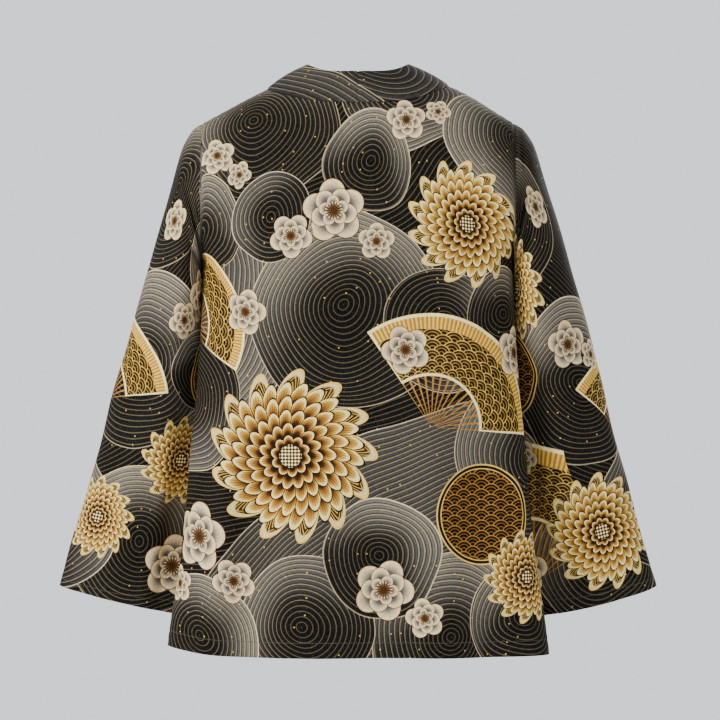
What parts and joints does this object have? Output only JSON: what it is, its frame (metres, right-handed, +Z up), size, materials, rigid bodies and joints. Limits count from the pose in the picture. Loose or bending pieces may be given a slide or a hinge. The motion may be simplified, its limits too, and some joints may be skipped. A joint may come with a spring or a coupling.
{
  "type": "cotton kimono jacket",
  "caption": "Hip-length open-front cotton kimono jacket, standing out hollow as worn, with wide straight sleeves and one long collar band round the neck and down both fronts.",
  "frame": {"origin": "midway between the two points where the collar band's seam crosses the shoulder lines, at the base of the wearer's neck", "axes": "+Z up, -Y to the front, +X to the wearer's left"},
  "size_m": [0.788, 0.237, 0.7752],
  "materials": {
    "printed_cotton": "matte printed cotton",
    "band_cotton": "matte printed cotton, double",
    "sleeve_cotton": "matte printed cotton"
  },
  "bodies": {
    "root": {"back_panel": "printed_cotton", "front_panel_left": "printed_cotton", "front_panel_right": "printed_cotton", "collar_band_left": "band_cotton", "collar_band_right": "band_cotton", "sleeve_left": "sleeve_cotton", "sleeve_right": "sleeve_cotton"}
  },
  "joints": []
}
